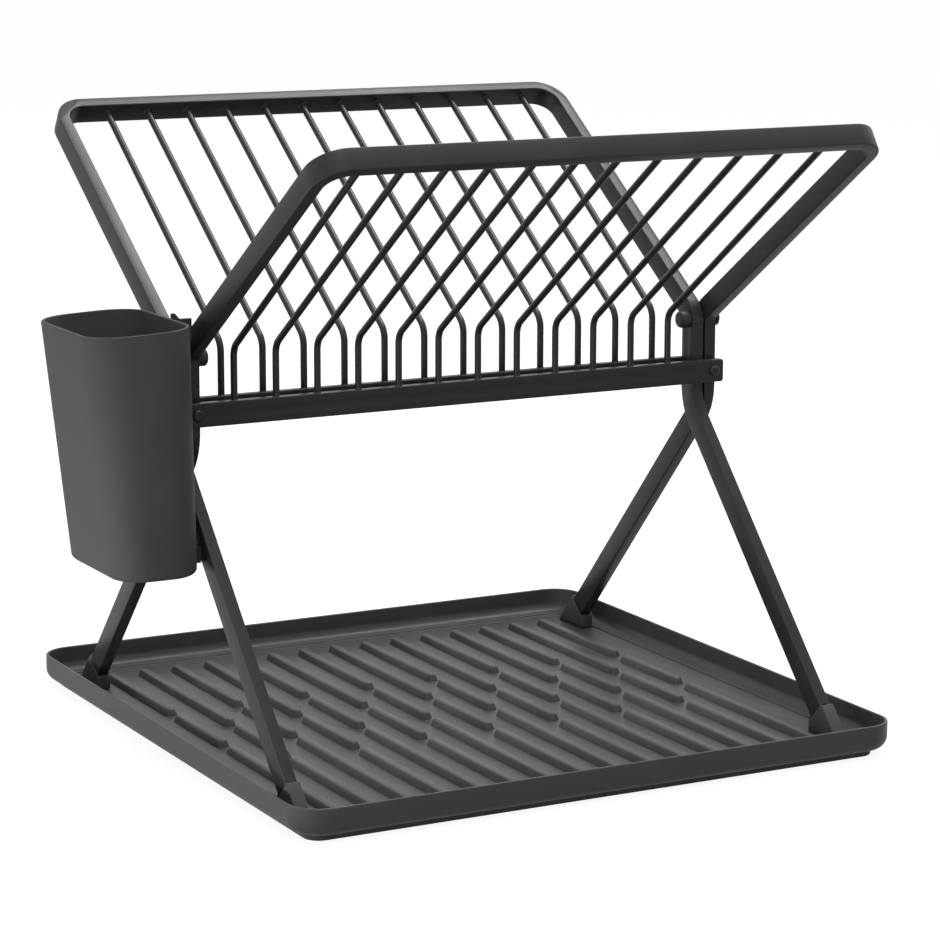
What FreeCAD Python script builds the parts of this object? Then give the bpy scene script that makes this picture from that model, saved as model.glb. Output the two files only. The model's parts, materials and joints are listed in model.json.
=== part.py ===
import FreeCAD, Part
import math
import os
import Sketcher

# Foldable dish rack: two identical bent-bar frames that cross on two pivot pins and stand in a drip tray
# X runs along the tray's front edge, Y towards the back, Z up, origin under the middle of the tray
# Lengths are in millimetres and angles in degrees

DRIVING_SIZES = [
    ("tray_width", 440.0),
    ("tray_depth", 452.0),
    ("tray_height", 23.5),
    ("tray_corner_radius", 22.0),
    ("tray_wall", 2.0),
    ("tray_sweep_radius", 9.0),
    ("plinth_height", 4.4),
    ("plinth_step", 2.0),
    ("plinth_width", 3.0),
    ("floor_band", 2.2),
    ("floor_recess", 1.3),
    ("underside_recess", 2.6),
    ("rib_pitch", 25.4),
    ("rib_width", 7.0),
    ("rib_height", 2.4),
    ("rib_rounding", 1.8),
    ("rib_field_end", 190.0),
    ("rib_break_odd_back", 70.0),
    ("rib_break_odd_front", -19.5),
    ("rib_break_even_back", 27.0),
    ("rib_break_even_front", -63.0),
    ("rib_break_gap", 12.0),
    ("bar_width", 15.2),
    ("bar_thickness", 8.5),
    ("bar_gap", 1.8),
    ("rack_width", 415.6),
    ("foot_reach", 185.7),
    ("knee_height", 207.2),
    ("knee_radius", 34.0),
    ("wing_bend_height", 271.9),
    ("wire_bend_height", 274.0),
    ("wing_bend_radius", 12.0),
    ("wing_reach", 207.2),
    ("wing_top_height", 413.1),
    ("wing_corner_radius", 18.0),
    ("pivot_height", 267.5),
    ("pin_radius", 2.5),
    ("running_clearance", 0.05),
    ("side_clearance", 0.1),
    ("pin_neck_radius", 3.5),
    ("pin_neck_length", 2.2),
    ("pin_head_radius", 6.0),
    ("pin_head_thickness", 1.8),
    ("knob_radius", 6.0),
    ("knob_length", 7.5),
    ("knob_rounding", 2.0),
    ("washer_radius", 6.0),
    ("rail_height", 16.0),
    ("rail_thickness", 6.0),
    ("rail_top_height", 239.2),
    ("rail_overhang", 3.2),
    ("rail_end_rounding", 2.0),
    ("rivet_shank_radius", 2.0),
    ("rivet_depth", 6.0),
    ("rivet_head_radius", 3.9),
    ("rivet_head_height", 2.2),
    ("rivet_fit", 0.02),
    ("wire_pitch", 30.2),
    ("wire_radius", 2.3),
    ("wire_bend_radius", 12.0),
    ("wire_weld_gap", 0.05),
    ("shoe_edge_wall", 2.5),
    ("shoe_side_wall", 0.7),
    ("shoe_collar", 22.0),
    ("shoe_heel_flare", 0.6),
    ("shoe_socket_end", 11.0),
    ("shoe_floor_gap", 0.3),
    ("shoe_fit", 0.02),
    ("cup_length", 112.0),
    ("cup_width", 73.0),
    ("cup_foot_length", 96.0),
    ("cup_foot_width", 59.0),
    ("cup_offset", -12.0),
    ("cup_foot_offset", -16.0),
    ("cup_rim_height", 297.5),
    ("cup_foot_height", 136.5),
    ("cup_rim_radius", 25.0),
    ("cup_foot_radius", 22.0),
    ("cup_wall", 2.0),
    ("cup_foot_rounding", 5.0),
    ("hanger_gap", 0.3),
    ("hanger_lip", 1.5),
    ("hanger_depth", 5.3),
    ("hanger_width", 28.0),
    ("hanger_top_width", 18.0),
    ("hanger_top_drop", 2.0),
    ("hanger_shoulder_drop", 9.0),
    ("hanger_drop", 17.0),
    ("hanger_seat_gap", 0.25),
    ("hanger_side_gap", 0.4),
    ("web_front", 20.2),
    ("web_thickness", 2.4),
    ("web_rise", 3.1),
    ("web_top_length", 3.4),
    ("web_slope_length", 3.2),
    ("web_shoulder_drop", 0.7),
    ("web_height", 14.0),
    ("web_reach", 8.5),
    ("lug_width", 10.0),
    ("lug_centre", -45.0),
    ("lug_height", 147.0),
    ("lug_gap", 0.3),
]

WIRES_PER_WING = 12
RIB_COLUMNS = 15
AXIS_X = FreeCAD.Vector(1, 0, 0)
AXIS_Y = FreeCAD.Vector(0, 1, 0)
AXIS_Z = FreeCAD.Vector(0, 0, 1)
HALF_TURN = FreeCAD.Rotation(AXIS_Z, 180)
NO_TURN = FreeCAD.Rotation()

document = FreeCAD.newDocument("dish_rack")
sheet = document.addObject("Spreadsheet::Sheet", "Sizes")
for row, (name, value) in enumerate(DRIVING_SIZES, start=1):
    sheet.set(f"A{row}", name)
    sheet.set(f"B{row}", str(value))
    sheet.setAlias(f"B{row}", name)
document.recompute()


class Size:
    """A length or an angle: its number, and the sheet expression that gives it."""

    def __init__(self, value, text):
        self.value = value
        self.text = text

    def __add__(self, other):
        other = as_size(other)
        return Size(self.value + other.value, f"({self.text} + {other.text})")

    def __sub__(self, other):
        other = as_size(other)
        return Size(self.value - other.value, f"({self.text} - {other.text})")

    def __mul__(self, other):
        other = as_size(other)
        return Size(self.value * other.value, f"({self.text} * {other.text})")

    def __truediv__(self, other):
        other = as_size(other)
        return Size(self.value / other.value, f"({self.text} / {other.text})")

    def __neg__(self):
        return Size(-self.value, f"(0 - {self.text})")


def as_size(number):
    return number if isinstance(number, Size) else Size(number, str(number))


def size(name):
    return Size(float(sheet.get(name)), "Sizes." + name)


def root_of(squared):
    return Size(math.sqrt(squared.value), f"sqrt({squared.text})")


ZERO = as_size(0.0)

# Heights in the tray
band_top = size("plinth_height") + size("tray_wall")
floor_top = band_top - size("floor_recess")
shoe_base = floor_top + size("shoe_floor_gap")

# Places across the rack, in the frame that carries the back wing
half_rack = size("rack_width") / 2
outer_bar = -(half_rack - size("bar_thickness") / 2)
inner_bar = half_rack - size("bar_gap") - size("bar_thickness") * 1.5
half_bar = size("bar_width") / 2

# Slopes of leg and wing in the side view, as sine and cosine from the vertical
leg_rise = size("knee_height") - shoe_base
leg_length = root_of(leg_rise * leg_rise + size("foot_reach") * size("foot_reach"))
leg_sine = size("foot_reach") / leg_length
leg_cosine = leg_rise / leg_length
wing_rise = size("wing_top_height") - size("wing_bend_height")
wing_length = root_of(wing_rise * wing_rise + size("wing_reach") * size("wing_reach"))
wing_sine = size("wing_reach") / wing_length
wing_cosine = wing_rise / wing_length


# Document helpers


def new_body(label):
    body = document.addObject("PartDesign::Body", label)
    body.Label = label
    return body


def new_sketch(body, role, offset=ZERO):
    sketch = body.newObject("Sketcher::SketchObject", body.Name + "_sketch")
    plane = [feature for feature in body.Origin.OriginFeatures if feature.Role == role][0]
    sketch.AttachmentSupport = (plane, [""])
    sketch.MapMode = "FlatFace"
    sketch.AttachmentOffset = FreeCAD.Placement(FreeCAD.Vector(0, 0, offset.value), NO_TURN)
    sketch.setExpression("AttachmentOffset.Base.z", offset.text)
    return sketch


def bind(sketch, kind, references, wanted):
    index = sketch.addConstraint(Sketcher.Constraint(kind, *references, wanted.value))
    sketch.setExpression(f"Constraints[{index}]", wanted.text)


def relate(sketch, kind, *references):
    sketch.addConstraint(Sketcher.Constraint(kind, *references))


def pin_point(sketch, geometry, end, x, y):
    """Holds one end of a sketch line at x and y."""
    if x is ZERO:
        relate(sketch, "PointOnObject", geometry, end, -2)
    else:
        bind(sketch, "DistanceX", (-1, 1, geometry, end), x)
    if y is ZERO:
        relate(sketch, "PointOnObject", geometry, end, -1)
    else:
        bind(sketch, "DistanceY", (-1, 1, geometry, end), y)


def point(x, y):
    return FreeCAD.Vector(x.value, y.value, 0)


def outline(sketch, corners):
    """A closed outline of straight lines through the corners."""
    count = len(corners)
    for index in range(count):
        start = point(*corners[index])
        end = point(*corners[(index + 1) % count])
        sketch.addGeometry(Part.LineSegment(start, end), False)
    for index in range(count):
        relate(sketch, "Coincident", index, 2, (index + 1) % count, 1)
    for index, (x, y) in enumerate(corners):
        pin_point(sketch, index, 1, x, y)


def arc(centre, radius, start_turn, end_turn):
    circle = Part.Circle(centre, AXIS_Z, radius)
    return Part.ArcOfCircle(circle, math.radians(start_turn), math.radians(end_turn))


def rounded_rectangle(sketch, low_x, high_x, low_y, high_y, radius):
    """A rectangle with four equal corner arcs: lines 0 to 3, arcs 4 to 7 after what the sketch holds."""
    first = sketch.GeometryCount
    corners = [
        (high_x - radius, low_y + radius, 270),
        (high_x - radius, high_y - radius, 0),
        (low_x + radius, high_y - radius, 90),
        (low_x + radius, low_y + radius, 180),
    ]
    arcs = []
    for x, y, turn in corners:
        arcs.append(arc(point(x, y), radius.value, turn, turn + 90))
    for index in range(4):
        start = arcs[index - 1].EndPoint
        end = arcs[index].StartPoint
        sketch.addGeometry(Part.LineSegment(start, end), False)
    for corner in arcs:
        sketch.addGeometry(corner, False)
    for index in range(4):
        line = first + index
        turn = first + 4 + index
        following = first + (index + 1) % 4
        relate(sketch, "Tangent", line, 2, turn, 1)
        relate(sketch, "Tangent", turn, 2, following, 1)
        relate(sketch, "Horizontal" if index % 2 == 0 else "Vertical", line)
    for index in range(3):
        relate(sketch, "Equal", first + 4 + index, first + 5 + index)
    bind(sketch, "Radius", (first + 4,), radius)
    bind(sketch, "DistanceY", (-1, 1, first, 1), low_y)
    bind(sketch, "DistanceX", (-1, 1, first + 1, 1), high_x)
    bind(sketch, "DistanceY", (-1, 1, first + 2, 1), high_y)
    bind(sketch, "DistanceX", (-1, 1, first + 3, 1), low_x)


def slot(sketch, x, low_y, high_y, width):
    """A slot along Y with round ends, whose tips are at low_y and high_y."""
    first = sketch.GeometryCount
    radius = width / 2
    low_centre = low_y + radius
    high_centre = high_y - radius
    low_end = arc(point(x, low_centre), radius.value, 180, 360)
    high_end = arc(point(x, high_centre), radius.value, 0, 180)
    sketch.addGeometry(low_end, False)
    sketch.addGeometry(Part.LineSegment(low_end.EndPoint, high_end.StartPoint), False)
    sketch.addGeometry(high_end, False)
    sketch.addGeometry(Part.LineSegment(high_end.EndPoint, low_end.StartPoint), False)
    for index in range(4):
        relate(sketch, "Tangent", first + index, 2, first + (index + 1) % 4, 1)
    relate(sketch, "Vertical", first + 1)
    relate(sketch, "Equal", first, first + 2)
    bind(sketch, "Radius", (first,), radius)
    if x is ZERO:
        relate(sketch, "PointOnObject", first, 3, -2)
    else:
        bind(sketch, "DistanceX", (-1, 1, first, 3), x)
    bind(sketch, "DistanceY", (-1, 1, first, 3), low_centre)
    bind(sketch, "DistanceY", (-1, 1, first + 2, 3), high_centre)


def add_feature(body, kind, sketch, length, reverse=False):
    """A pad, or a pocket, of that length from the sketch."""
    feature = body.newObject("PartDesign::" + kind, body.Name + "_" + kind.lower())
    feature.Profile = sketch
    feature.Length = length.value
    feature.setExpression("Length", length.text)
    feature.Reversed = reverse
    body.Tip = feature
    document.recompute()
    return feature


def add_loft(body, kind, sketches):
    feature = body.newObject("PartDesign::" + kind, body.Name + "_" + kind.lower())
    feature.Profile = sketches[0]
    feature.Sections = sketches[1:]
    feature.Ruled = True
    body.Tip = feature
    document.recompute()
    return feature


def round_edges(body, chosen, radius):
    """Rounds the edges of the body's last feature that the test chooses."""
    base = body.Tip
    names = []
    for index, edge in enumerate(base.Shape.Edges, start=1):
        if chosen(edge):
            names.append(f"Edge{index}")
    if not names:
        raise ValueError(f"{body.Label} has no edge to round")
    feature = body.newObject("PartDesign::Fillet", body.Name + "_rounding")
    feature.Base = (base, names)
    feature.Radius = radius.value
    feature.setExpression("Radius", radius.text)
    body.Tip = feature
    document.recompute()
    return feature


def level_edge(height):
    """A test for edges that lie wholly at that height."""

    def chosen(edge):
        box = edge.BoundBox
        return abs(box.ZMin - height.value) < 1e-4 and abs(box.ZMax - height.value) < 1e-4

    return chosen


def shell_from_top(body, height, wall):
    """Leaves a wall of that thickness inside the body's faces, open at that height."""
    blank = body.Tip
    mouth = []
    for index, face in enumerate(blank.Shape.Faces, start=1):
        box = face.BoundBox
        if abs(box.ZMin - height.value) < 1e-4 and abs(box.ZMax - height.value) < 1e-4:
            mouth.append(f"Face{index}")
    feature = body.newObject("PartDesign::Thickness", body.Name + "_thickness")
    feature.Base = (blank, mouth)
    feature.Value = wall.value
    feature.setExpression("Value", wall.text)
    feature.Reversed = True
    body.Tip = feature
    document.recompute()
    return feature


def place(part, x, y, z, turn=NO_TURN):
    part.Placement = FreeCAD.Placement(FreeCAD.Vector(x.value, y.value, z.value), turn)
    part.setExpression("Placement.Base.x", x.text)
    part.setExpression("Placement.Base.y", y.text)
    part.setExpression("Placement.Base.z", z.text)


def lathe(label, corners):
    """A turned piece about its own X axis, from corners given as place along X and radius."""
    body = new_body(label)
    sketch = new_sketch(body, "XZ_Plane")
    outline(sketch, corners)
    turned = body.newObject("PartDesign::Revolution", body.Name + "_revolution")
    turned.Profile = sketch
    turned.ReferenceAxis = (sketch, ["H_Axis"])
    turned.Angle = 360.0
    body.Tip = turned
    document.recompute()
    return body


# Drip tray


def make_tray():
    body = new_body("drip_tray")
    half_width = size("tray_width") / 2
    half_depth = size("tray_depth") / 2

    def rectangle(sketch, inset):
        radius = size("tray_corner_radius") - inset
        rounded_rectangle(
            sketch,
            inset - half_width,
            half_width - inset,
            inset - half_depth,
            half_depth - inset,
            radius,
        )

    shell = new_sketch(body, "XY_Plane", size("plinth_height"))
    rectangle(shell, ZERO + ZERO)
    add_feature(body, "Pad", shell, size("tray_height") - size("plinth_height"))
    hollow = new_sketch(body, "XY_Plane", size("tray_height"))
    rectangle(hollow, size("tray_wall"))
    add_feature(body, "Pocket", hollow, size("tray_height") - band_top)
    inner_sweep = size("tray_sweep_radius") - size("tray_wall")
    round_edges(body, level_edge(band_top), inner_sweep)
    round_edges(body, level_edge(size("plinth_height")), size("tray_sweep_radius"))
    round_edges(body, level_edge(size("tray_height")), size("tray_wall") * 0.4)

    plinth_inset = size("tray_sweep_radius") + size("plinth_step")
    plinth = new_sketch(body, "XY_Plane")
    rectangle(plinth, plinth_inset)
    add_feature(body, "Pad", plinth, size("plinth_height") + size("tray_wall") / 2)
    underside = new_sketch(body, "XY_Plane")
    rectangle(underside, plinth_inset + size("plinth_width"))
    add_feature(body, "Pocket", underside, size("underside_recess"), reverse=True)
    panel = new_sketch(body, "XY_Plane", band_top)
    rectangle(panel, size("tray_sweep_radius") + size("floor_band"))
    add_feature(body, "Pocket", panel, size("floor_recess"))

    first_column = -(size("rib_pitch") * ((RIB_COLUMNS - 1) / 2))
    columns = [
        (first_column, "rib_break_odd_back", "rib_break_odd_front", (RIB_COLUMNS + 1) // 2),
        (
            first_column + size("rib_pitch"),
            "rib_break_even_back",
            "rib_break_even_front",
            RIB_COLUMNS // 2,
        ),
    ]
    half_gap = size("rib_break_gap") / 2
    for x, back_break, front_break, repeats in columns:
        ribs = new_sketch(body, "XY_Plane", floor_top)
        spans = [
            (size(back_break) + half_gap, size("rib_field_end")),
            (size(front_break) + half_gap, size(back_break) - half_gap),
            (-size("rib_field_end"), size(front_break) - half_gap),
        ]
        for low, high in spans:
            slot(ribs, x, low, high, size("rib_width"))
        pad = add_feature(body, "Pad", ribs, size("rib_height"))
        pattern = body.newObject("PartDesign::LinearPattern", "rib_columns")
        pattern.Originals = [pad]
        pattern.Direction = (ribs, ["H_Axis"])
        pattern.Length = size("rib_pitch").value * 2 * (repeats - 1)
        pattern.setExpression("Length", (size("rib_pitch") * (2 * (repeats - 1))).text)
        pattern.Occurrences = repeats
        body.Tip = pattern
        document.recompute()
    round_edges(body, level_edge(floor_top + size("rib_height")), size("rib_rounding"))
    return body


# Bent bars and wires


def bent_rod(corners, radii, section):
    """The solid that a section sweeps along straight runs joined by tangent arcs at the inner corners."""
    solids = []
    face = section
    here = corners[0]
    for index in range(1, len(corners)):
        run = (corners[index] - corners[index - 1]).normalize()
        last = index == len(corners) - 1
        if last:
            solids.append(face.extrude(corners[index] - here))
            break
        following = (corners[index + 1] - corners[index]).normalize()
        turn = run.getAngle(following)
        setback = radii[index - 1] * math.tan(turn / 2)
        bend_start = corners[index] - run * setback
        solids.append(face.extrude(bend_start - here))
        face = face.copy()
        face.translate(bend_start - here)
        bend_axis = run.cross(following).normalize()
        inward = bend_axis.cross(run).normalize()
        bend_centre = bend_start + inward * radii[index - 1]
        solids.append(face.revolve(bend_centre, bend_axis, math.degrees(turn)))
        face = face.copy()
        face.rotate(bend_centre, bend_axis, math.degrees(turn))
        here = corners[index] + following * setback
    return solids[0].multiFuse(solids[1:]).removeSplitter()


def rectangle_face(centre, along_x, across, half_x, half_across):
    """A rectangle whose sides lie along two given directions."""
    corners = []
    for x_side, across_side in ((-1, -1), (1, -1), (1, 1), (-1, 1)):
        step = along_x * (half_x * x_side) + across * (half_across * across_side)
        corners.append(centre + step)
    return Part.Face(Part.makePolygon(corners + corners[:1]))


def vector(x, y, z):
    return FreeCAD.Vector(x.value, y.value, z.value)


def add_shape(label, shape, turn):
    """A sub-part whose shape is made for the frame with the back wing, turned where the other frame has it."""
    part = document.addObject("Part::Feature", label)
    part.Label = label
    part.Shape = shape
    part.Placement = FreeCAD.Placement(FreeCAD.Vector(), turn)
    return part


def make_frame(label, turn):
    """One flat bar, bent into a wing above the pivots and two legs below them."""
    foot_y = size("shoe_socket_end") * leg_sine - size("foot_reach")
    foot_z = shoe_base + size("shoe_socket_end") * leg_cosine
    corners = [
        vector(outer_bar, foot_y, foot_z),
        vector(outer_bar, ZERO, size("knee_height")),
        vector(outer_bar, ZERO, size("wing_bend_height")),
        vector(outer_bar, size("wing_reach"), size("wing_top_height")),
        vector(inner_bar, size("wing_reach"), size("wing_top_height")),
        vector(inner_bar, ZERO, size("wing_bend_height")),
        vector(inner_bar, ZERO, size("knee_height")),
        vector(inner_bar, foot_y, foot_z),
    ]
    side_radii = [size("knee_radius").value, size("wing_bend_radius").value]
    corner_radius = size("wing_corner_radius").value
    radii = side_radii + [corner_radius, corner_radius] + side_radii[::-1]
    across = FreeCAD.Vector(0, leg_cosine.value, -leg_sine.value)
    half_thickness = size("bar_thickness").value / 2
    section = rectangle_face(corners[0], AXIS_X, across, half_thickness, half_bar.value)
    bar = bent_rod(corners, radii, section)
    bore_radius = size("pin_radius").value + size("running_clearance").value
    for x in (outer_bar, inner_bar):
        start = vector(x - size("bar_thickness"), ZERO, size("pivot_height"))
        bar = bar.cut(Part.makeCylinder(bore_radius, size("bar_thickness").value * 2, start, AXIS_X))
        mouth = vector(x, half_bar - size("rivet_depth"), rail_middle)
        hole_radius = size("rivet_shank_radius").value + size("rivet_fit").value
        bar = bar.cut(Part.makeCylinder(hole_radius, size("bar_width").value, mouth, AXIS_Y))
    return add_shape(label, bar, turn)


def make_wire(label, number, turn):
    """One round wire: upright on the rail, then bent into the wing and up to the top bar."""
    x = size("wire_pitch") * (number - (WIRES_PER_WING + 1) / 2)
    foot_y = half_bar + size("rail_thickness") / 2
    bend_z = size("wire_bend_height")
    top_step = size("bar_thickness") / 2 + size("wire_weld_gap")
    corners = [
        vector(x, foot_y, size("rail_top_height")),
        vector(x, foot_y, bend_z),
        vector(
            x,
            size("wing_reach") - top_step * wing_sine,
            size("wing_top_height") - top_step * wing_cosine,
        ),
    ]
    circle = Part.Circle(corners[0], AXIS_Z, size("wire_radius").value)
    section = Part.Face(Part.Wire(circle.toShape()))
    wire = bent_rod(corners, [size("wire_bend_radius").value], section)
    return add_shape(label, wire, turn)


# Rails and rivets

rail_middle = size("rail_top_height") - size("rail_height") / 2


def make_rail(label, turn):
    """A flat rail on the edge of its own frame's bars, long enough to stop the other frame's bars too."""
    body = new_body(label)
    sketch = new_sketch(body, "XZ_Plane", -half_bar)
    low_x = -(half_rack + size("rail_overhang"))
    rounded_rectangle(
        sketch,
        low_x,
        half_rack,
        size("rail_top_height") - size("rail_height"),
        size("rail_top_height"),
        size("rail_end_rounding"),
    )
    add_feature(body, "Pad", sketch, size("rail_thickness"), reverse=True)
    holes = new_sketch(body, "XZ_Plane", -half_bar)
    for index, x in enumerate((outer_bar, inner_bar)):
        hole_radius = size("rivet_shank_radius") + size("rivet_fit")
        holes.addGeometry(Part.Circle(point(x, rail_middle), AXIS_Z, hole_radius.value), False)
        bind(holes, "Radius", (index,), hole_radius)
        bind(holes, "DistanceX", (-1, 1, index, 3), x)
        bind(holes, "DistanceY", (-1, 1, index, 3), rail_middle)
    solid = body.Tip.Shape.Volume
    add_feature(body, "Pocket", holes, size("rail_thickness"), reverse=False)
    if not body.Tip.Shape.Volume < solid:
        raise ValueError(f"{label} has no rivet holes")
    body.Placement = FreeCAD.Placement(FreeCAD.Vector(), turn)
    return body


def make_rivet(label, x, turn):
    """A round-headed rivet through the rail into the bar."""
    shank_end = -(size("rail_thickness") + size("rivet_depth") - size("side_clearance"))
    body = lathe(
        label,
        [
            (shank_end, ZERO),
            (size("rivet_head_height"), ZERO),
            (size("rivet_head_height"), size("rivet_head_radius")),
            (ZERO, size("rivet_head_radius")),
            (ZERO, size("rivet_shank_radius")),
            (shank_end, size("rivet_shank_radius")),
        ],
    )

    def head_edge(edge):
        box = edge.BoundBox
        wide = box.ZLength > size("rivet_head_radius").value * 1.5
        return wide and box.XMin > size("rivet_head_height").value - 1e-4

    round_edges(body, head_edge, size("rivet_head_height") * 0.75)
    rail_face = half_bar + size("rail_thickness")
    outward = FreeCAD.Rotation(AXIS_X, AXIS_Y)
    if turn is HALF_TURN:
        place(body, -x, -rail_face, rail_middle, HALF_TURN * outward)
    else:
        place(body, x, rail_face, rail_middle, outward)
    return body


# Pivots


def make_pivot(side, turn):
    """Pin, washer and knob of one pivot, made for the side where X is negative."""
    bar_stack = size("bar_thickness") * 2 + size("bar_gap")
    neck_start = -(half_rack + size("side_clearance"))
    head_seat = neck_start - size("pin_neck_length")
    knob_seat = bar_stack - half_rack + size("side_clearance")
    pin_end = knob_seat + size("knob_length") * 0.6
    pin = lathe(
        "pivot_pin_" + side,
        [
            (head_seat - size("pin_head_thickness"), ZERO),
            (pin_end, ZERO),
            (pin_end, size("pin_radius")),
            (neck_start, size("pin_radius")),
            (neck_start, size("pin_neck_radius")),
            (head_seat, size("pin_neck_radius")),
            (head_seat, size("pin_head_radius")),
            (head_seat - size("pin_head_thickness"), size("pin_head_radius")),
        ],
    )
    bore = size("pin_radius") + size("running_clearance")
    bore_end = pin_end + size("side_clearance")
    knob_end = knob_seat + size("knob_length")
    knob = lathe(
        "pivot_knob_" + side,
        [
            (bore_end, ZERO),
            (knob_end, ZERO),
            (knob_end, size("knob_radius")),
            (knob_seat, size("knob_radius")),
            (knob_seat, bore),
            (bore_end, bore),
        ],
    )

    def knob_edge(edge):
        return edge.BoundBox.XMin > knob_end.value - 1e-4

    round_edges(knob, knob_edge, size("knob_rounding"))
    washer_start = size("bar_thickness") - half_rack + size("side_clearance")
    washer_end = washer_start + size("bar_gap") - size("side_clearance") * 2
    washer = lathe(
        "pivot_washer_" + side,
        [
            (washer_start, bore),
            (washer_end, bore),
            (washer_end, size("washer_radius")),
            (washer_start, size("washer_radius")),
        ],
    )
    for piece in (pin, knob, washer):
        place(piece, ZERO, ZERO, size("pivot_height"), turn)
    return [pin, knob, washer]


# Shoes


def make_shoe(label, x, turn):
    """A moulded sleeve on a leg's end, flat on the tray and square to the leg at its collar."""
    body = new_body(label)
    reach = half_bar + size("shoe_edge_wall")
    heel_y = size("shoe_collar") * leg_sine + reach * leg_cosine
    corners = [
        (-(reach / leg_cosine), ZERO),
        (heel_y + size("shoe_heel_flare"), ZERO),
        (heel_y, size("shoe_collar") * leg_cosine - reach * leg_sine),
        (
            size("shoe_collar") * leg_sine - reach * leg_cosine,
            size("shoe_collar") * leg_cosine + reach * leg_sine,
        ),
    ]
    half_shoe = size("bar_thickness") / 2 + size("shoe_side_wall")
    sketch = new_sketch(body, "YZ_Plane", -half_shoe)
    outline(sketch, corners)
    add_feature(body, "Pad", sketch, half_shoe * 2)

    socket_half = half_bar + size("shoe_fit")
    near = size("shoe_socket_end") - size("shoe_fit")
    far = size("shoe_collar") + size("shoe_edge_wall")
    socket_corners = []
    for along, side in ((near, 1), (near, -1), (far, -1), (far, 1)):
        socket_corners.append(
            (
                along * leg_sine + socket_half * leg_cosine * side,
                along * leg_cosine - socket_half * leg_sine * side,
            )
        )
    socket_side = size("bar_thickness") / 2 + size("shoe_fit")
    socket = new_sketch(body, "YZ_Plane", socket_side)
    outline(socket, socket_corners)
    solid = body.Tip.Shape.Volume
    add_feature(body, "Pocket", socket, socket_side * 2)
    if not body.Tip.Shape.Volume < solid:
        raise ValueError(f"{label} has no socket")
    if turn is HALF_TURN:
        place(body, -x, size("foot_reach"), shoe_base, turn)
    else:
        place(body, x, -size("foot_reach"), shoe_base, turn)
    return body


# Cutlery cup


def make_cup():
    """A tapered cup whose hanger drops over the head of the left pivot pin."""
    body = new_body("cutlery_cup")
    block_x = -(half_rack + size("hanger_gap"))
    wall_x = block_x - size("hanger_depth")

    def section(height, length, width, middle, radius):
        sketch = new_sketch(body, "XY_Plane", height)
        low_y = middle - length / 2
        rounded_rectangle(sketch, wall_x - width, wall_x, low_y, low_y + length, radius)
        return sketch

    foot = section(
        size("cup_foot_height"),
        size("cup_foot_length"),
        size("cup_foot_width"),
        size("cup_foot_offset"),
        size("cup_foot_radius"),
    )
    rim = section(
        size("cup_rim_height"),
        size("cup_length"),
        size("cup_width"),
        size("cup_offset"),
        size("cup_rim_radius"),
    )
    add_loft(body, "AdditiveLoft", [foot, rim])
    shell_from_top(body, size("cup_rim_height"), size("cup_wall"))
    inner_foot = size("cup_foot_height") + size("cup_wall")
    round_edges(body, level_edge(size("cup_foot_height")), size("cup_foot_rounding"))
    inner_rounding = size("cup_foot_rounding") - size("cup_wall")
    round_edges(body, level_edge(inner_foot), inner_rounding)
    round_edges(body, level_edge(size("cup_rim_height")), size("cup_wall") * 0.3)

    # The hanger is a block with a slot open downwards, narrow for the pin's neck, wide for its head
    block_start = wall_x - size("cup_wall") / 2
    half_block = size("hanger_width") / 2
    half_top = size("hanger_top_width") / 2
    block_low = size("pivot_height") - size("hanger_drop")
    block_high = size("cup_rim_height") - size("hanger_top_drop")
    shoulder = size("cup_rim_height") - size("hanger_shoulder_drop")
    block = new_sketch(body, "YZ_Plane", block_start)
    outline(
        block,
        [
            (-half_block, block_low),
            (half_block, block_low),
            (half_block, shoulder),
            (half_top, block_high),
            (-half_top, block_high),
            (-half_block, shoulder),
        ],
    )
    add_feature(body, "Pad", block, block_x - block_start)
    slots = [
        (block_x, size("hanger_lip"), size("pin_neck_radius") + size("hanger_side_gap")),
        (
            block_x - size("hanger_lip"),
            size("hanger_depth") - size("hanger_lip"),
            size("pin_head_radius") + size("hanger_side_gap"),
        ),
    ]
    seat = size("hanger_seat_gap") - size("hanger_side_gap")
    for x, depth, radius in slots:
        opening = new_sketch(body, "YZ_Plane", x)
        high = size("pivot_height") + radius + seat
        slot(opening, ZERO, block_low - radius * 2, high, radius * 2)
        add_feature(body, "Pocket", opening, depth)

    # A web beside the hanger stands above the rim and reaches over the outer bar
    web_high = size("cup_rim_height") + size("web_rise")
    web_shoulder = size("cup_rim_height") - size("web_shoulder_drop")
    top_end = block_start + size("web_top_length")
    web = new_sketch(body, "XZ_Plane", size("web_front"))
    outline(
        web,
        [
            (block_start, web_shoulder - size("web_height")),
            (block_x + size("web_reach"), web_shoulder - size("web_height")),
            (block_x + size("web_reach"), web_shoulder),
            (top_end + size("web_slope_length"), web_shoulder),
            (top_end, web_high),
            (block_start, web_high),
        ],
    )
    add_feature(body, "Pad", web, size("web_thickness"), reverse=True)

    # The lug keeps the cup upright against the outer leg
    lug_half = size("lug_width") / 2
    lug = new_sketch(body, "YZ_Plane", block_start)
    outline(
        lug,
        [
            (size("lug_centre") - lug_half, size("lug_height") - lug_half),
            (size("lug_centre") + lug_half, size("lug_height") - lug_half),
            (size("lug_centre") + lug_half, size("lug_height") + lug_half),
            (size("lug_centre") - lug_half, size("lug_height") + lug_half),
        ],
    )
    lug_end = -(half_rack + size("lug_gap"))
    add_feature(body, "Pad", lug, lug_end - block_start)
    return body


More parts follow.
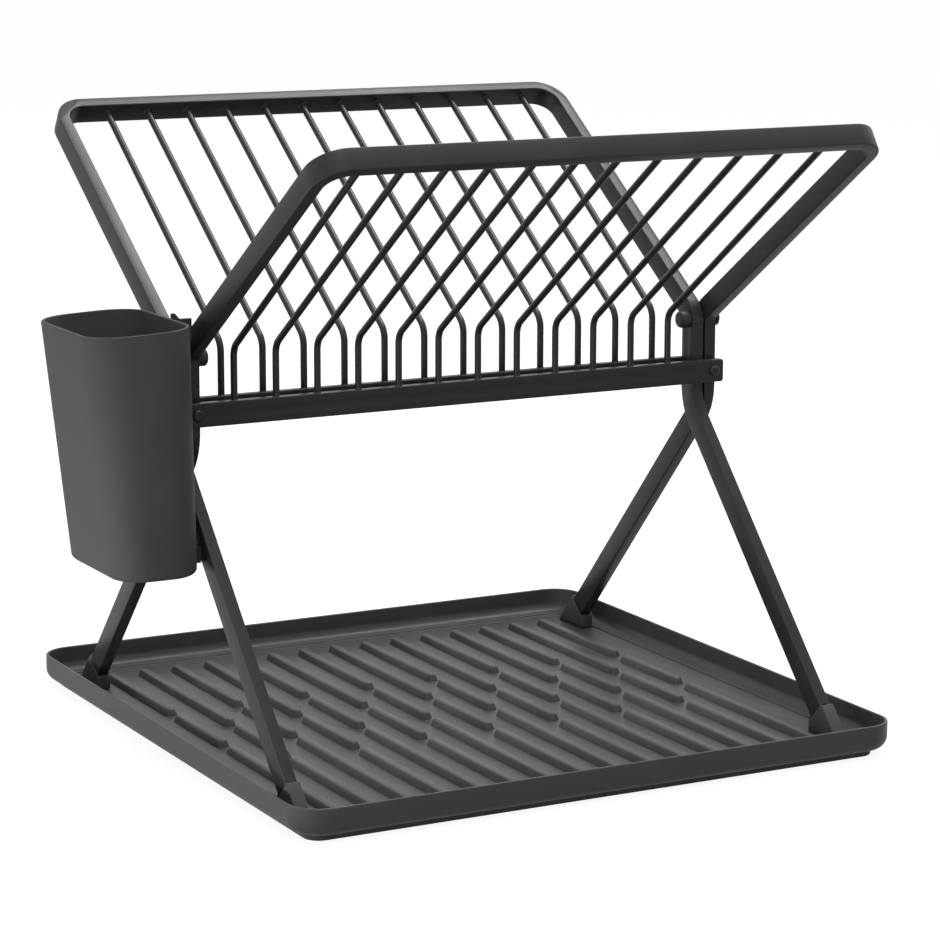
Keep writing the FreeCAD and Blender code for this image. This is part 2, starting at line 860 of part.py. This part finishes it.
def build_rack():
    parts = [make_tray()]
    sides = [("back", "front", NO_TURN), ("front", "back", HALF_TURN)]
    for wing, feet, turn in sides:
        parts.append(make_frame(wing + "_wing_frame", turn))
        parts.append(make_rail(wing + "_rail", turn))
        ends = [("left", outer_bar), ("right", inner_bar)]
        if turn is HALF_TURN:
            ends = [("right", outer_bar), ("left", inner_bar)]
        for end, x in ends:
            parts.append(make_rivet(f"{wing}_rail_rivet_{end}", x, turn))
            parts.append(make_shoe(f"{feet}_{end}_shoe", x, turn))
        for number in range(1, WIRES_PER_WING + 1):
            parts.append(make_wire(f"{wing}_wire_{number:02d}", number, turn))
    for side, turn in (("left", NO_TURN), ("right", HALF_TURN)):
        parts.extend(make_pivot(side, turn))
    parts.append(make_cup())
    return parts


def check(parts):
    """Stops on an object that failed to build, or a sub-part that isn't one sound solid."""
    for item in document.Objects:
        if "Invalid" in item.State or "Error" in item.State:
            raise ValueError(f"{item.Label} failed to build: {item.State}")
    for part in parts:
        shape = part.Shape
        if shape.isNull() or not shape.isValid():
            raise ValueError(f"{part.Label} has no sound shape")
        if len(shape.Solids) != 1:
            raise ValueError(f"{part.Label} has {len(shape.Solids)} solids")


def write(parts):
    os.makedirs("parts", exist_ok=True)
    for part in parts:
        part.Shape.exportStep(os.path.join("parts", part.Label + ".step"))


all_parts = build_rack()
document.recompute()
check(all_parts)
write(all_parts)
print(f"{len(all_parts)} sub-parts written")
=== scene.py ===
import json
import math

import bpy
from mathutils import Matrix, Vector


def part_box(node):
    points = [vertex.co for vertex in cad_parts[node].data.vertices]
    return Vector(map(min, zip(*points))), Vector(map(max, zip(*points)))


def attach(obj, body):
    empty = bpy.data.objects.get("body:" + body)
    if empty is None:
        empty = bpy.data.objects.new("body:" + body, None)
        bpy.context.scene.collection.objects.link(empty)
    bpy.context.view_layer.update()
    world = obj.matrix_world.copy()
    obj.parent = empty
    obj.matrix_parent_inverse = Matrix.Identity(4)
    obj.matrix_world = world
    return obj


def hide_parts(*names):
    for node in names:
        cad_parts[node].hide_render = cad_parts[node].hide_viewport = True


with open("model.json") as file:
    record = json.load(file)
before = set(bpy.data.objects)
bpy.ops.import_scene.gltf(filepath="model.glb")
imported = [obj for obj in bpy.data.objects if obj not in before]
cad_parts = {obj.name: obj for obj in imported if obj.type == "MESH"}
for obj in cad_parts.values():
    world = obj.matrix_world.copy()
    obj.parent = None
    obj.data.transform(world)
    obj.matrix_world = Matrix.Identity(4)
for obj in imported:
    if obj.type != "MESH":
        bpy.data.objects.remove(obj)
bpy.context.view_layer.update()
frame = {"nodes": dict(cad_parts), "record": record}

MM = 0.001
WIRES_PER_WING = 12

# Camera: fitted to the photograph's straight edges
IMAGE_WIDTH = 940
SENSOR_WIDTH = 36.0
FOCAL_PIXELS = 3237.912
CAMERA_AZIMUTH = -27.98
CAMERA_ELEVATION = 11.06
CAMERA_ROLL = 0.099
CAMERA_PLACE = Vector((-1011.711, -1932.172, 601.904)) * MM

# Merging a CAD mesh's loose triangles back into whole faces
MERGE_DISTANCE = 0.02 * MM
FLAT_ANGLE = math.radians(0.7)
SMOOTH_ANGLE = math.radians(30)
ROUND_ANGLE = math.radians(60)

# Sizes that the looks need besides the frame's own
WIRE_RADIUS = 2.3 * MM
WIRE_BEND_HEIGHT = 274.0 * MM
WING_REACH = 207.2 * MM
WING_TOP_HEIGHT = 413.1 * MM
BAR_EDGE = 0.7 * MM
RAIL_EDGE = 0.6 * MM
SHOE_EDGE = 1.2 * MM
TRAY_EDGE = 0.6 * MM
WELD_FLARE = 0.5 * MM
WELD_HEIGHT = 0.9 * MM

# The tray's drain ribs: columns along X, each broken twice along Y
RIB_COLUMNS = 15
RIB_PITCH = 25.4 * MM
RIB_BASE = 10.0 * MM
RIB_FLANK = 1.9 * MM
RIB_HEIGHT = 5.0 * MM
RIB_EDGE = 1.3 * MM
RIB_FIELD_END = 190.0 * MM
RIB_GAP = 12.0 * MM
RIB_OVERLAP = 1.2 * MM
RIB_BREAKS = ((70.0 * MM, -19.5 * MM), (27.0 * MM, -63.0 * MM))
TRAY_FLOOR = 5.0 * MM

# The cup: its inner wall stands upright, and the rim leans outwards by a few degrees
CUP_WALL_X = -213.2 * MM
CUP_FOOT_WIDTH = 59.0 * MM
CUP_FOOT_FRONT = -73.0 * MM
CUP_FOOT_BACK = 32.0 * MM
CUP_FOOT_HEIGHT = 137.6 * MM
CUP_RIM_WIDTH = 73.0 * MM
CUP_RIM_FRONT = -68.0 * MM
CUP_RIM_BACK = 44.0 * MM
CUP_RIM_HEIGHT = 297.5 * MM
CUP_CORNER = 22.0 * MM
CUP_RIM_LEAN = 2.2
CUP_WALL = 2.2 * MM
CUP_FOOT_EDGE = 4.5 * MM
CUP_RIM_EDGE = 0.8 * MM
CUP_RIM_BAND = 5.0 * MM
HANGER_SINK = 0.1 * MM

# Floor and room: how bright each is to the camera, in gloss and as light on the object
FLOOR_SEEN = 0.9
FLOOR_MIRRORED = 0.4
ROOM_SEEN = 1.0
ROOM_FILL = 0.15


# Small tools


def linear(hex_colour):
    """An sRGB hex colour as linear RGBA."""
    channels = [int(hex_colour[i : i + 2], 16) / 255 for i in (1, 3, 5)]
    straight = [c / 12.92 if c <= 0.04045 else ((c + 0.055) / 1.055) ** 2.4 for c in channels]
    return (*straight, 1.0)


def add_node(tree, kind, settings=None, inputs=None):
    """Adds a node, sets its properties, and sets or links its inputs."""
    node = tree.nodes.new(kind)
    for key, value in (settings or {}).items():
        setattr(node, key, value)
    for key, value in (inputs or {}).items():
        if isinstance(value, bpy.types.NodeSocket):
            tree.links.new(value, node.inputs[key])
        else:
            node.inputs[key].default_value = value
    return node


def new_material(name):
    material = bpy.data.materials.new(name)
    material.use_nodes = True
    material.node_tree.nodes.clear()
    return material, material.node_tree


def finish_material(tree, shader):
    add_node(tree, "ShaderNodeOutputMaterial", inputs={"Surface": shader.outputs[0]})


def select_only(*pieces):
    bpy.ops.object.select_all(action="DESELECT")
    for piece in pieces:
        piece.select_set(True)
    bpy.context.view_layer.objects.active = pieces[0]


def apply_modifier(piece, kind, **settings):
    modifier = piece.modifiers.new(kind.lower(), kind)
    for key, value in settings.items():
        setattr(modifier, key, value)
    select_only(piece)
    bpy.ops.object.modifier_apply(modifier=modifier.name)


def select_faces(piece, wanted):
    """Selects the faces for which wanted(centre, normal) is true, in face mode."""
    bpy.ops.object.mode_set(mode="EDIT")
    bpy.ops.mesh.select_mode(type="FACE")
    bpy.ops.mesh.select_all(action="DESELECT")
    bpy.ops.object.mode_set(mode="OBJECT")
    for face in piece.data.polygons:
        face.select = wanted(face.center, face.normal)
    bpy.ops.object.mode_set(mode="EDIT")


# Materials


def grain(tree, scale_mm, detail, roughness=0.5):
    """Noise whose lumps are about scale_mm wide, on the piece's own coordinates."""
    place = add_node(tree, "ShaderNodeTexCoord").outputs["Object"]
    return add_node(
        tree,
        "ShaderNodeTexNoise",
        inputs={
            "Vector": place,
            "Scale": 1 / (scale_mm * MM),
            "Detail": detail,
            "Roughness": roughness,
        },
    ).outputs["Fac"]


def between(tree, factor, low, high):
    """The factor's middle range, spread from low to high."""
    return add_node(
        tree,
        "ShaderNodeMapRange",
        inputs={"Value": factor, "From Min": 0.3, "From Max": 0.7, "To Min": low, "To Max": high},
    ).outputs["Result"]


def tint(tree, factor, low, high):
    """A colour between two sRGB hex colours, by the factor's middle range."""
    ramp = add_node(tree, "ShaderNodeValToRGB", inputs={"Fac": factor})
    ramp.color_ramp.elements[0].position = 0.35
    ramp.color_ramp.elements[0].color = linear(low)
    ramp.color_ramp.elements[1].position = 0.65
    ramp.color_ramp.elements[1].color = linear(high)
    return ramp.outputs["Color"]


def coated_steel(name, low, high, gloss, specular):
    """Powder-coated steel: a thin baked skin with a soft orange peel, satin, slightly uneven in gloss."""
    material, tree = new_material(name)
    # Orange peel is about 1 mm from lump to lump; the powder's own speckle is finer
    peel = grain(tree, 1.3, 2.0)
    speckle = grain(tree, 0.35, 1.0)
    cloud = grain(tree, 45.0, 3.0)
    bump = add_node(
        tree,
        "ShaderNodeBump",
        inputs={"Strength": 0.35, "Distance": 0.05 * MM, "Height": peel},
    ).outputs["Normal"]
    bump = add_node(
        tree,
        "ShaderNodeBump",
        inputs={"Strength": 0.25, "Distance": 0.02 * MM, "Height": speckle, "Normal": bump},
    ).outputs["Normal"]
    shader = add_node(
        tree,
        "ShaderNodeBsdfPrincipled",
        inputs={
            "Base Color": tint(tree, cloud, low, high),
            "Roughness": between(tree, cloud, gloss - 0.04, gloss + 0.04),
            "Specular IOR Level": specular,
            "IOR": 1.5,
            "Normal": bump,
        },
    )
    finish_material(tree, shader)
    return material


def moulded_plastic(name, low, high, gloss, specular, grit_mm):
    """Injection-moulded polypropylene: the mould's fine eroded grain, and faint flow clouds in the gloss."""
    material, tree = new_material(name)
    grit = grain(tree, grit_mm, 2.0)
    cloud = grain(tree, 60.0, 4.0)
    bump = add_node(
        tree,
        "ShaderNodeBump",
        inputs={"Strength": 0.4, "Distance": 0.04 * MM, "Height": grit},
    ).outputs["Normal"]
    shader = add_node(
        tree,
        "ShaderNodeBsdfPrincipled",
        inputs={
            "Base Color": tint(tree, cloud, low, high),
            "Roughness": between(tree, cloud, gloss - 0.05, gloss + 0.05),
            "Specular IOR Level": specular,
            "IOR": 1.49,
            "Normal": bump,
        },
    )
    finish_material(tree, shader)
    return material


frame_coat = coated_steel("powder_coated_steel_frame", "#343332", "#383736", 0.36, 0.24)
rail_coat = coated_steel("powder_coated_steel_rail", "#353433", "#393836", 0.38, 0.22)
wire_coat = coated_steel("powder_coated_steel_wire", "#2b2a28", "#2f2e2b", 0.32, 0.3)
pin_coat = coated_steel("powder_coated_steel_pin", "#3c3b39", "#41403d", 0.36, 0.2)
tray_plastic = moulded_plastic("moulded_polypropylene_tray", "#454545", "#4a4a4a", 0.42, 0.34, 0.7)
cup_plastic = moulded_plastic("moulded_polypropylene_cup", "#505253", "#555859", 0.55, 0.12, 0.6)
shoe_plastic = moulded_plastic("moulded_nylon_shoe", "#4e4d4d", "#535252", 0.5, 0.2, 0.5)
washer_plastic = moulded_plastic("turned_nylon_washer", "#1d1d1d", "#212121", 0.5, 0.3, 0.5)

FINISHES = {
    "frame_paint": frame_coat,
    "rail_paint": rail_coat,
    "wire_paint": wire_coat,
    "pin_paint": pin_coat,
    "tray_plastic": tray_plastic,
    "cup_plastic": cup_plastic,
    "shoe_plastic": shoe_plastic,
    "washer_plastic": washer_plastic,
}


def dress(piece, slot_name):
    piece.data.materials.clear()
    piece.data.materials.append(FINISHES[slot_name])


slot_of = {part["node"]: part["material_slot"] for part in frame["record"]["subparts"]}
for node_name, cad_object in frame["nodes"].items():
    for place in cad_object.material_slots:
        place.material = FINISHES[slot_of[node_name]]


# Pieces whose sharp CAD edges are broken as the real ones are


def soften(node_name, body, label, edge, bend_angle=32.0):
    """A merged copy of a CAD node with its sharp edges rounded to that radius."""
    source = frame["nodes"][node_name]
    piece = bpy.data.objects.new(label, source.data.copy())
    bpy.context.scene.collection.objects.link(piece)
    select_only(piece)
    bpy.ops.mesh.customdata_custom_splitnormals_clear()
    bpy.ops.object.mode_set(mode="EDIT")
    bpy.ops.mesh.select_all(action="SELECT")
    bpy.ops.mesh.remove_doubles(threshold=MERGE_DISTANCE)
    bpy.ops.mesh.dissolve_limited(angle_limit=FLAT_ANGLE)
    bpy.ops.object.mode_set(mode="OBJECT")
    apply_modifier(
        piece,
        "BEVEL",
        width=edge,
        segments=3,
        limit_method="ANGLE",
        angle_limit=math.radians(bend_angle),
        use_clamp_overlap=False,
        miter_outer="MITER_ARC",
    )
    bpy.ops.object.shade_smooth_by_angle(angle=math.radians(bend_angle))
    dress(piece, slot_of[node_name])
    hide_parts(node_name)
    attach(piece, body)


body_of = {
    member: body for body, members in frame["record"]["behaviour"]["bodies"].items() for member in members
}
for wing in ("front", "back"):
    soften(wing + "_wing_frame", wing + "_wing", wing + "_bent_bar", BAR_EDGE)
    soften(wing + "_rail", wing + "_wing", wing + "_flat_rail", RAIL_EDGE)
    for side in ("left", "right"):
        shoe = f"{wing}_{side}_shoe"
        soften(shoe, body_of[shoe], f"{wing}_{side}_moulded_shoe", SHOE_EDGE)
soften("drip_tray", "tray", "moulded_tray", TRAY_EDGE, bend_angle=50.0)


# Weld flares: the coat gathers in a small flare where each wire meets its rail and its top bar


def model_flare():
    """One flare standing on the origin along +Z, wide at its foot."""
    bpy.ops.object.select_all(action="DESELECT")
    bpy.ops.mesh.primitive_circle_add(
        vertices=20, radius=WIRE_RADIUS + WELD_FLARE, fill_type="NOTHING", location=(0, 0, 0)
    )
    piece = bpy.context.object
    bpy.ops.object.mode_set(mode="EDIT")
    bpy.ops.mesh.select_all(action="SELECT")
    steps = [(0.45, 0.22), (0.16, 0.6), (0.0, 1.0)]
    width = WIRE_RADIUS + WELD_FLARE
    height = 0.0
    for spread, rise in steps:
        bpy.ops.mesh.extrude_region_move(
            TRANSFORM_OT_translate={"value": (0, 0, rise * WELD_HEIGHT - height)}
        )
        height = rise * WELD_HEIGHT
        next_width = WIRE_RADIUS * 1.004 + WELD_FLARE * spread
        factor = next_width / width
        bpy.ops.transform.resize(value=(factor, factor, 1), center_override=(0, 0, height))
        width = next_width
    bpy.ops.mesh.select_all(action="SELECT")
    bpy.ops.mesh.normals_make_consistent(inside=False)
    bpy.ops.object.mode_set(mode="OBJECT")
    bpy.ops.object.shade_smooth_by_angle(angle=ROUND_ANGLE)
    dress(piece, "wire_paint")
    return piece


def place_flare(pattern, label, foot, direction, body):
    """A copy of the flare with its foot there, standing along the direction."""
    mesh = pattern.data.copy()
    mesh.transform(Matrix.Translation(foot) @ direction.to_track_quat("Z", "Y").to_matrix().to_4x4())
    piece = bpy.data.objects.new(label, mesh)
    bpy.context.scene.collection.objects.link(piece)
    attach(piece, body)


flare = model_flare()
for wing, toward in (("front", -1), ("back", 1)):
    for number in range(1, WIRES_PER_WING + 1):
        low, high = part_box(f"{wing}_wire_{number:02d}")
        x = (low.x + high.x) / 2
        inner_y = high.y if toward < 0 else low.y
        outer_y = low.y if toward < 0 else high.y
        foot = Vector((x, inner_y + toward * WIRE_RADIUS, low.z))
        bend = Vector((x, foot.y, WIRE_BEND_HEIGHT))
        slope = (Vector((x, toward * WING_REACH, WING_TOP_HEIGHT)) - bend).normalized()
        top = Vector((x, outer_y - toward * WIRE_RADIUS * slope.z, high.z - WIRE_RADIUS * abs(slope.y)))
        place_flare(flare, f"{wing}_foot_weld_{number:02d}", foot, Vector((0, 0, 1)), wing + "_wing")
        place_flare(flare, f"{wing}_top_weld_{number:02d}", top, -slope, wing + "_wing")
bpy.data.objects.remove(flare)


# Cup: a tapered shell with a rounded rim, and the CAD hanger behind it


def model_cup():
    """A rounded foot plate, drawn up and out to the rim, shelled, with its foot and rim rounded."""
    bpy.ops.object.select_all(action="DESELECT")
    middle = Vector((CUP_WALL_X - CUP_FOOT_WIDTH / 2, (CUP_FOOT_FRONT + CUP_FOOT_BACK) / 2, CUP_FOOT_HEIGHT))
    bpy.ops.mesh.primitive_plane_add(size=1.0, location=middle)
    cup = bpy.context.object
    cup.name = "cup_shell"
    cup.scale = (CUP_FOOT_WIDTH, CUP_FOOT_BACK - CUP_FOOT_FRONT, 1.0)
    bpy.ops.object.transform_apply(location=True, rotation=True, scale=True)
    bpy.ops.object.mode_set(mode="EDIT")
    bpy.ops.mesh.select_all(action="SELECT")
    bpy.ops.mesh.bevel(offset=CUP_CORNER, segments=10, affect="VERTICES")
    bpy.ops.mesh.select_all(action="SELECT")
    bpy.ops.mesh.extrude_region_move(
        TRANSFORM_OT_translate={"value": (0, 0, CUP_RIM_HEIGHT - CUP_FOOT_HEIGHT)}
    )
    wider = CUP_RIM_WIDTH / CUP_FOOT_WIDTH
    longer = (CUP_RIM_BACK - CUP_RIM_FRONT) / (CUP_FOOT_BACK - CUP_FOOT_FRONT)
    still_y = (CUP_RIM_FRONT - longer * CUP_FOOT_FRONT) / (1 - longer)
    bpy.ops.transform.resize(
        value=(wider, longer, 1), center_override=(CUP_WALL_X, still_y, CUP_RIM_HEIGHT)
    )
    bpy.ops.transform.rotate(
        value=math.radians(CUP_RIM_LEAN), orient_axis="Y", center_override=(CUP_WALL_X, 0, CUP_RIM_HEIGHT)
    )
    bpy.ops.mesh.delete(type="ONLY_FACE")
    bpy.ops.mesh.select_all(action="SELECT")
    bpy.ops.mesh.normals_make_consistent(inside=False)
    bpy.ops.object.mode_set(mode="OBJECT")
    select_faces(cup, lambda centre, normal: normal.z < -0.9)
    bpy.ops.mesh.bevel(offset=CUP_FOOT_EDGE, segments=6, affect="EDGES")
    bpy.ops.object.mode_set(mode="OBJECT")
    apply_modifier(cup, "SOLIDIFY", thickness=CUP_WALL, offset=-1.0)
    select_faces(cup, lambda centre, normal: normal.z > 0.9 and centre.z > CUP_RIM_HEIGHT - CUP_RIM_BAND)
    bpy.ops.mesh.bevel(offset=CUP_RIM_EDGE, segments=4, affect="EDGES")
    bpy.ops.object.mode_set(mode="OBJECT")
    bpy.ops.object.shade_smooth_by_angle(angle=SMOOTH_ANGLE)
    dress(cup, "cup_plastic")
    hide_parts("cutlery_cup")
    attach(cup, "cup")


def model_hanger():
    """The CAD cup's hanger, web and lug, cut off at the cup's wall."""
    hanger = bpy.data.objects.new("cup_hanger", frame["nodes"]["cutlery_cup"].data.copy())
    bpy.context.scene.collection.objects.link(hanger)
    select_only(hanger)
    bpy.ops.mesh.customdata_custom_splitnormals_clear()
    bpy.ops.object.mode_set(mode="EDIT")
    bpy.ops.mesh.select_all(action="SELECT")
    bpy.ops.mesh.remove_doubles(threshold=0.01 * MM)
    bpy.ops.mesh.select_all(action="SELECT")
    bpy.ops.mesh.bisect(
        plane_co=(CUP_WALL_X - HANGER_SINK, 0, 0),
        plane_no=(1, 0, 0),
        use_fill=True,
        clear_inner=True,
    )
    bpy.ops.mesh.select_all(action="SELECT")
    bpy.ops.mesh.dissolve_limited(angle_limit=FLAT_ANGLE)
    bpy.ops.object.mode_set(mode="OBJECT")
    bpy.ops.object.shade_smooth_by_angle(angle=SMOOTH_ANGLE)
    dress(hanger, "cup_plastic")
    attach(hanger, "cup")


model_cup()
model_hanger()


# Drain ribs: round-ended ridges with sloping flanks, in three broken rows


def model_rib(length):
    """One rib standing on the origin, its length along Y."""
    bpy.ops.object.select_all(action="DESELECT")
    bpy.ops.mesh.primitive_circle_add(
        vertices=20, radius=RIB_BASE / 2, fill_type="NGON", location=(0, 0, 0)
    )
    rib = bpy.context.object
    stretch = length - RIB_BASE
    for end in (1, -1):
        bpy.ops.object.mode_set(mode="EDIT")
        bpy.ops.mesh.select_mode(type="VERT")
        bpy.ops.mesh.select_all(action="DESELECT")
        bpy.ops.object.mode_set(mode="OBJECT")
        for corner in rib.data.vertices:
            corner.select = corner.co.y * end > 0.01 * MM
        bpy.ops.object.mode_set(mode="EDIT")
        bpy.ops.transform.translate(value=(0, end * stretch / 2, 0))
        bpy.ops.object.mode_set(mode="OBJECT")
    bpy.ops.object.mode_set(mode="EDIT")
    bpy.ops.mesh.select_mode(type="FACE")
    bpy.ops.mesh.select_all(action="SELECT")
    bpy.ops.mesh.inset(thickness=RIB_FLANK, depth=RIB_HEIGHT, use_boundary=True)
    bpy.ops.mesh.bevel(offset=RIB_EDGE, segments=3, affect="EDGES")
    bpy.ops.object.mode_set(mode="OBJECT")
    bpy.ops.object.shade_smooth_by_angle(angle=ROUND_ANGLE)
    dress(rib, "tray_plastic")
    return rib


for first, (back_break, front_break) in enumerate(RIB_BREAKS):
    spans = (
        (back_break + RIB_GAP / 2, RIB_FIELD_END),
        (front_break + RIB_GAP / 2, back_break - RIB_GAP / 2),
        (-RIB_FIELD_END, front_break - RIB_GAP / 2),
    )
    for row, (low_y, high_y) in enumerate(spans, start=1):
        pattern = model_rib(high_y - low_y + 2 * RIB_OVERLAP)
        for column in range(first, RIB_COLUMNS, 2):
            mesh = pattern.data.copy()
            x = (column - (RIB_COLUMNS - 1) / 2) * RIB_PITCH
            mesh.transform(Matrix.Translation((x, (low_y + high_y) / 2, TRAY_FLOOR)))
            rib = bpy.data.objects.new(f"drain_rib_{column + 1:02d}_{row}", mesh)
            bpy.context.scene.collection.objects.link(rib)
            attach(rib, "tray")
        bpy.data.objects.remove(pattern)


# Floor, light and camera


def make_floor():
    """A wide white floor that keeps the object's shadow and shows white to the camera."""
    bpy.ops.object.select_all(action="DESELECT")
    bpy.ops.mesh.primitive_plane_add(size=30.0, location=(0, 0, 0))
    floor = bpy.context.object
    floor.name = "white_floor"
    material, tree = new_material("matt_white_floor")
    path = add_node(tree, "ShaderNodeLightPath")
    mirrored = add_node(
        tree,
        "ShaderNodeMath",
        {"operation": "MULTIPLY"},
        {0: path.outputs["Is Glossy Ray"], 1: FLOOR_MIRRORED},
    )
    glow = add_node(
        tree,
        "ShaderNodeMath",
        {"operation": "MULTIPLY_ADD"},
        {0: path.outputs["Is Camera Ray"], 1: FLOOR_SEEN, 2: mirrored.outputs[0]},
    )
    matt = add_node(
        tree,
        "ShaderNodeBsdfPrincipled",
        inputs={
            "Base Color": linear("#a4a4a4"),
            "Roughness": 0.9,
            "Specular IOR Level": 0.0,
            "Emission Color": linear("#ffffff"),
            "Emission Strength": glow.outputs[0],
        },
    )
    finish_material(tree, matt)
    floor.data.materials.append(material)


def make_world():
    """A white room that the camera and gloss see at full strength and the object is filled by weakly."""
    world = bpy.data.worlds.new("white_room")
    bpy.context.scene.world = world
    world.use_nodes = True
    tree = world.node_tree
    tree.nodes.clear()
    path = add_node(tree, "ShaderNodeLightPath")
    seen = add_node(
        tree,
        "ShaderNodeMath",
        {"operation": "MAXIMUM"},
        {0: path.outputs["Is Camera Ray"], 1: path.outputs["Is Transmission Ray"]},
    )
    seen = add_node(
        tree,
        "ShaderNodeMath",
        {"operation": "MAXIMUM"},
        {0: seen.outputs[0], 1: path.outputs["Is Glossy Ray"]},
    )
    strength = add_node(
        tree,
        "ShaderNodeMapRange",
        inputs={"Value": seen.outputs[0], "To Min": ROOM_FILL, "To Max": ROOM_SEEN},
    )
    background = add_node(
        tree,
        "ShaderNodeBackground",
        inputs={"Color": linear("#ffffff"), "Strength": strength.outputs[0]},
    )
    add_node(tree, "ShaderNodeOutputWorld", inputs={"Surface": background.outputs[0]})


def add_light(name, kind, place, target, energy, **settings):
    """A lamp at a place, turned toward the target."""
    data = bpy.data.lights.new(name, kind)
    data.energy = energy
    for key, value in settings.items():
        setattr(data, key, value)
    lamp = bpy.data.objects.new(name, data)
    bpy.context.scene.collection.objects.link(lamp)
    lamp.location = place
    lamp.rotation_mode = "QUATERNION"
    lamp.rotation_quaternion = (Vector(target) - Vector(place)).to_track_quat("-Z", "Y")


def make_camera():
    """The photograph's view: place, direction, roll and focal length."""
    azimuth, elevation, roll = (
        math.radians(angle) for angle in (CAMERA_AZIMUTH, CAMERA_ELEVATION, CAMERA_ROLL)
    )
    back = Vector(
        (
            math.sin(azimuth) * math.cos(elevation),
            -math.cos(azimuth) * math.cos(elevation),
            math.sin(elevation),
        )
    )
    right = (-back).cross(Vector((0, 0, 1))).normalized()
    up = right.cross(-back)
    turned_right = right * math.cos(roll) + up * math.sin(roll)
    turned_up = up * math.cos(roll) - right * math.sin(roll)
    data = bpy.data.cameras.new("photo_camera")
    data.sensor_fit = "HORIZONTAL"
    data.sensor_width = SENSOR_WIDTH
    data.lens = FOCAL_PIXELS / IMAGE_WIDTH * SENSOR_WIDTH
    data.clip_end = 60.0
    camera = bpy.data.objects.new("photo_camera", data)
    bpy.context.scene.collection.objects.link(camera)
    turn = Matrix((turned_right, turned_up, back)).transposed()
    camera.matrix_world = Matrix.Translation(CAMERA_PLACE) @ turn.to_4x4()
    bpy.context.scene.camera = camera


make_floor()
make_world()
# A low strip lights what faces left without reaching over the tray's wall
add_light(
    "left_strip",
    "AREA",
    (-0.8, -0.15, 0.04),
    (0, -0.15, 0.04),
    2.7,
    shape="RECTANGLE",
    size=1.0,
    size_y=0.07,
)
add_light("front_fill", "SUN", (-0.5, -1.0, 1.2), (0, 0, 0), 0.4, angle=math.radians(70))
add_light("top_softbox", "AREA", (0.9, 0.45, 2.27), (0, 0, 0.25), 33.0, shape="SQUARE", size=1.1)
add_light("overhead", "AREA", (-0.35, -0.2, 2.2), (0, 0, 0.1), 11.0, shape="SQUARE", size=0.8)
make_camera()
bpy.context.scene.view_settings.view_transform = "Standard"
